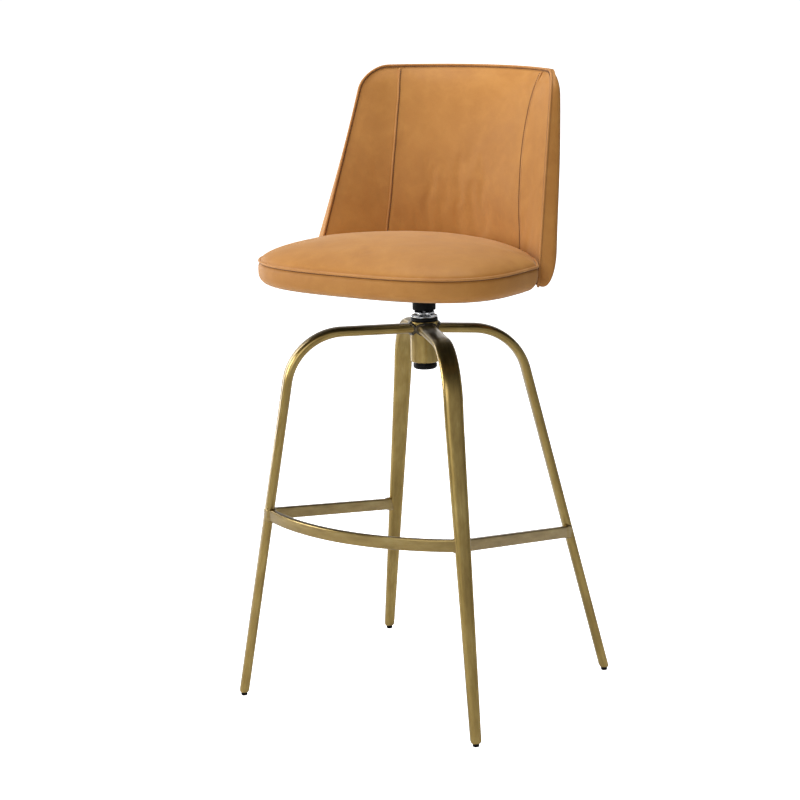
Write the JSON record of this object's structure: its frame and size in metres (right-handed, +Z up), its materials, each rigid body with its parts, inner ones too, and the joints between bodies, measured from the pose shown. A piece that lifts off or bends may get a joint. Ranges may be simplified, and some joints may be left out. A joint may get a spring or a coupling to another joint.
{
  "type": "swivel bar stool",
  "caption": "Bar-height stool with an upholstered swivelling seat, a wrap-around padded back, splayed bent-tube legs and a bar footrest.",
  "frame": {"origin": "on the floor, under the middle of the bounding box; the swivel axis stands 19.1 mm behind it, towards +Y", "axes": "+Z up; the sitter faces -Y; +X is the sitter's left"},
  "size_m": [0.4736, 0.4488, 1.0226],
  "materials": {
    "tan_leather": "matte nubuck-like tan leather",
    "antique_brass": "brushed antique brass, lacquered",
    "black_plastic": "matte moulded",
    "chrome": "bright plated",
    "steel": "zinc plated",
    "plywood": "unfinished",
    "black_fabric": "thin non-woven lining"
  },
  "bodies": {
    "base": {"hub": "antique_brass", "leg_front_left": "antique_brass", "leg_front_right": "antique_brass", "leg_rear_left": "antique_brass", "leg_rear_right": "antique_brass", "footrest_front_bar": "antique_brass", "footrest_left_bar": "antique_brass", "footrest_right_bar": "antique_brass", "foot_plug_front_left": "black_plastic", "foot_plug_front_right": "black_plastic", "foot_plug_rear_left": "black_plastic", "foot_plug_rear_right": "black_plastic", "hub_lower_bush": "black_plastic", "hub_upper_bush": "black_plastic", "bearing_race": "chrome", "bearing_balls": "chrome"},
    "seat": {"spindle": "steel", "spindle_nut": "black_plastic", "swivel_sleeve": "black_plastic", "swivel_plate": "steel", "plate_bolt_1": "steel", "plate_bolt_2": "steel", "plate_bolt_3": "steel", "plate_bolt_4": "steel", "seat_board": "plywood", "seat_base_cloth": "black_fabric", "seat_cushion": "tan_leather", "seat_band": "tan_leather", "seat_piping": "tan_leather", "back_panel_centre": "tan_leather", "back_panel_left": "tan_leather", "back_panel_right": "tan_leather", "back_cover": "tan_leather", "back_piping": "tan_leather", "back_core": "plywood"}
  },
  "joints": [
    {"name": "seat_swivel", "type": "hinge", "parent": "base", "child": "seat", "pos_m": [0, 0.0191, 0.6275], "axis": [0, 0, 1], "continuous": true}
  ]
}
